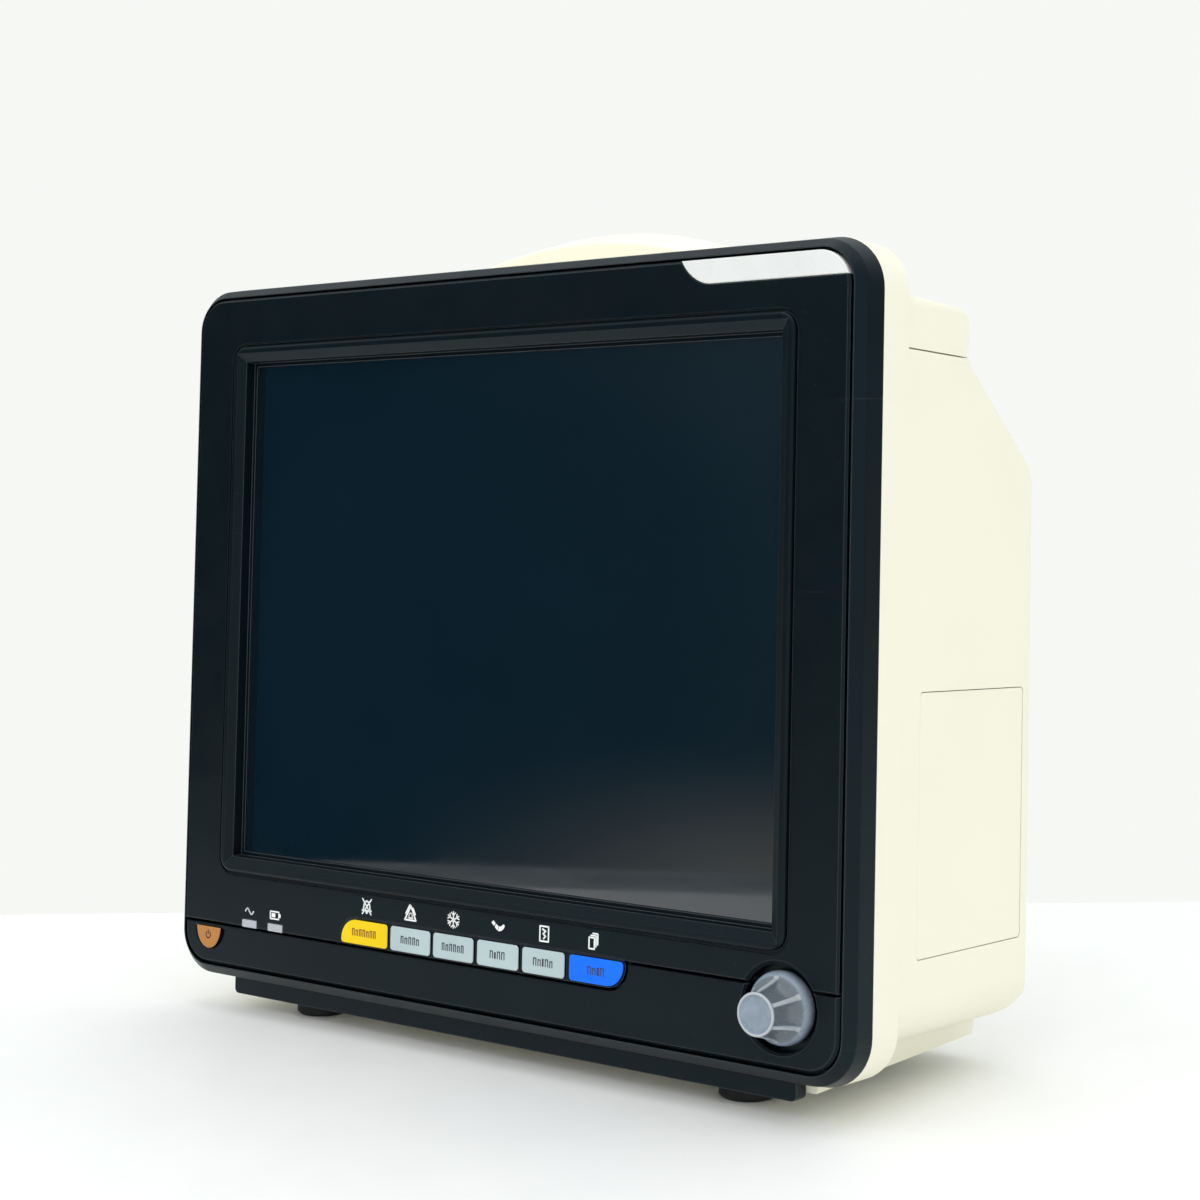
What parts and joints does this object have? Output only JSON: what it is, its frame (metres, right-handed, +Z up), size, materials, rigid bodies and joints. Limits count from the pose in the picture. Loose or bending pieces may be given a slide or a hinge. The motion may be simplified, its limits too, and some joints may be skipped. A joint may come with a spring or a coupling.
{
  "type": "patient monitor",
  "caption": "Bedside patient monitor: large screen in a black front shell, row of keys and a rotary knob, pale hollow housing with carrying handle and sloping back.",
  "frame": {"origin": "middle of the footprint's box, on the surface the feet stand on", "axes": "+X to the viewer's right, +Y into the monitor away from the viewer, +Z up; the housing leans back 3 degrees about X"},
  "size_m": [0.3112, 0.1332, 0.2933],
  "materials": {
    "black_plastic": "fine-textured moulding, satin",
    "panel_plastic": "fine-textured moulding, satin",
    "display_glass": "dark anti-reflection film over glass",
    "gasket_foam": "closed-cell foam",
    "lcd_module": "dark panel in a metal edge",
    "sheet_metal": "zinc-plated sheet",
    "lamp_lens": "white diffusing plastic",
    "circuit_board": "green solder mask",
    "indicator_plastic": "clear grey light pipe",
    "orange_key": "satin",
    "yellow_key": "satin",
    "grey_key": "satin",
    "blue_key": "satin",
    "switch_metal": "tin-plated",
    "knob_plastic": "smooth, slightly cloudy",
    "steel": "nickel-plated",
    "cream_plastic": "fine-textured moulding, matt",
    "grip_rubber": "soft grip liner",
    "sensor_plate": "matt plate",
    "socket_green": "satin",
    "socket_blue": "satin",
    "socket_brown": "satin",
    "socket_red": "satin",
    "inlet_plastic": "satin black",
    "brass": "turned",
    "pump_metal": "drawn can",
    "battery_wrap": "shrink wrap",
    "speaker_cone": "paper cone",
    "foot_rubber": "matt"
  },
  "bodies": {
    "housing": {"front_bezel": "black_plastic", "display_fascia": "panel_plastic", "lower_fascia": "panel_plastic", "display_window": "display_glass", "display_gasket": "gasket_foam", "lcd_panel": "lcd_module", "lcd_bracket": "sheet_metal", "alarm_lamp_lens": "lamp_lens", "alarm_lamp_board": "circuit_board", "mains_indicator": "indicator_plastic", "power_indicator": "indicator_plastic", "keypad_board": "circuit_board", "key_switches": "switch_metal", "encoder_body": "steel", "rear_housing": "cream_plastic", "handle_cap": "cream_plastic", "handle_grip": "grip_rubber", "recorder_blank_cover": "cream_plastic", "sensor_panel": "sensor_plate", "ecg_socket": "socket_green", "spo2_socket": "socket_blue", "temperature_sockets": "socket_brown", "invasive_pressure_sockets": "socket_red", "cuff_port": "steel", "ac_inlet": "inlet_plastic", "ac_inlet_pins": "brass", "ground_stud": "brass", "network_port": "steel", "battery_cover": "cream_plastic", "battery_cover_screws": "steel", "housing_screws": "steel", "chassis_plate": "sheet_metal", "main_board": "circuit_board", "power_supply": "sheet_metal", "parameter_module": "sheet_metal", "air_pump": "pump_metal", "battery_pack": "battery_wrap", "speaker": "speaker_cone", "rubber_feet": "foot_rubber", "mount_inserts": "brass"},
    "knob_push": {"encoder_plunger": "steel"},
    "knob": {"control_knob": "knob_plastic", "encoder_shaft": "steel"},
    "fuse_drawer": {"fuse_drawer": "inlet_plastic"},
    "power_key": {"power_key": "orange_key"},
    "silence_key": {"silence_key": "yellow_key"},
    "pause_key": {"pause_key": "grey_key"},
    "freeze_key": {"freeze_key": "grey_key"},
    "pressure_key": {"pressure_key": "grey_key"},
    "print_key": {"print_key": "grey_key"},
    "main_key": {"main_key": "blue_key"}
  },
  "joints": [
    {"name": "power_key_press", "type": "slide", "parent": "housing", "child": "power_key", "axis": [0, 0.9986, -0.0523], "range_m": [0, 0.0008], "stiffness_N_per_m": 900},
    {"name": "silence_key_press", "type": "slide", "parent": "housing", "child": "silence_key", "axis": [0, 0.9986, -0.0523], "range_m": [0, 0.0008], "stiffness_N_per_m": 900},
    {"name": "pause_key_press", "type": "slide", "parent": "housing", "child": "pause_key", "axis": [0, 0.9986, -0.0523], "range_m": [0, 0.0008], "stiffness_N_per_m": 900},
    {"name": "freeze_key_press", "type": "slide", "parent": "housing", "child": "freeze_key", "axis": [0, 0.9986, -0.0523], "range_m": [0, 0.0008], "stiffness_N_per_m": 900},
    {"name": "pressure_key_press", "type": "slide", "parent": "housing", "child": "pressure_key", "axis": [0, 0.9986, -0.0523], "range_m": [0, 0.0008], "stiffness_N_per_m": 900},
    {"name": "print_key_press", "type": "slide", "parent": "housing", "child": "print_key", "axis": [0, 0.9986, -0.0523], "range_m": [0, 0.0008], "stiffness_N_per_m": 900},
    {"name": "main_key_press", "type": "slide", "parent": "housing", "child": "main_key", "axis": [0, 0.9986, -0.0523], "range_m": [0, 0.0008], "stiffness_N_per_m": 900},
    {"name": "knob_press", "type": "slide", "parent": "housing", "child": "knob_push", "axis": [0, 0.9986, -0.0523], "range_m": [0, 0.0005], "stiffness_N_per_m": 4000},
    {"name": "knob_turn", "type": "hinge", "parent": "knob_push", "child": "knob", "pos_m": [0.1277, -0.0538, 0.03671], "axis": [0, 0.9986, -0.0523], "continuous": true},
    {"name": "fuse_drawer_slide", "type": "slide", "parent": "housing", "child": "fuse_drawer", "axis": [0, 0.9986, -0.0523], "range_m": [0, 0.018]}
  ]
}
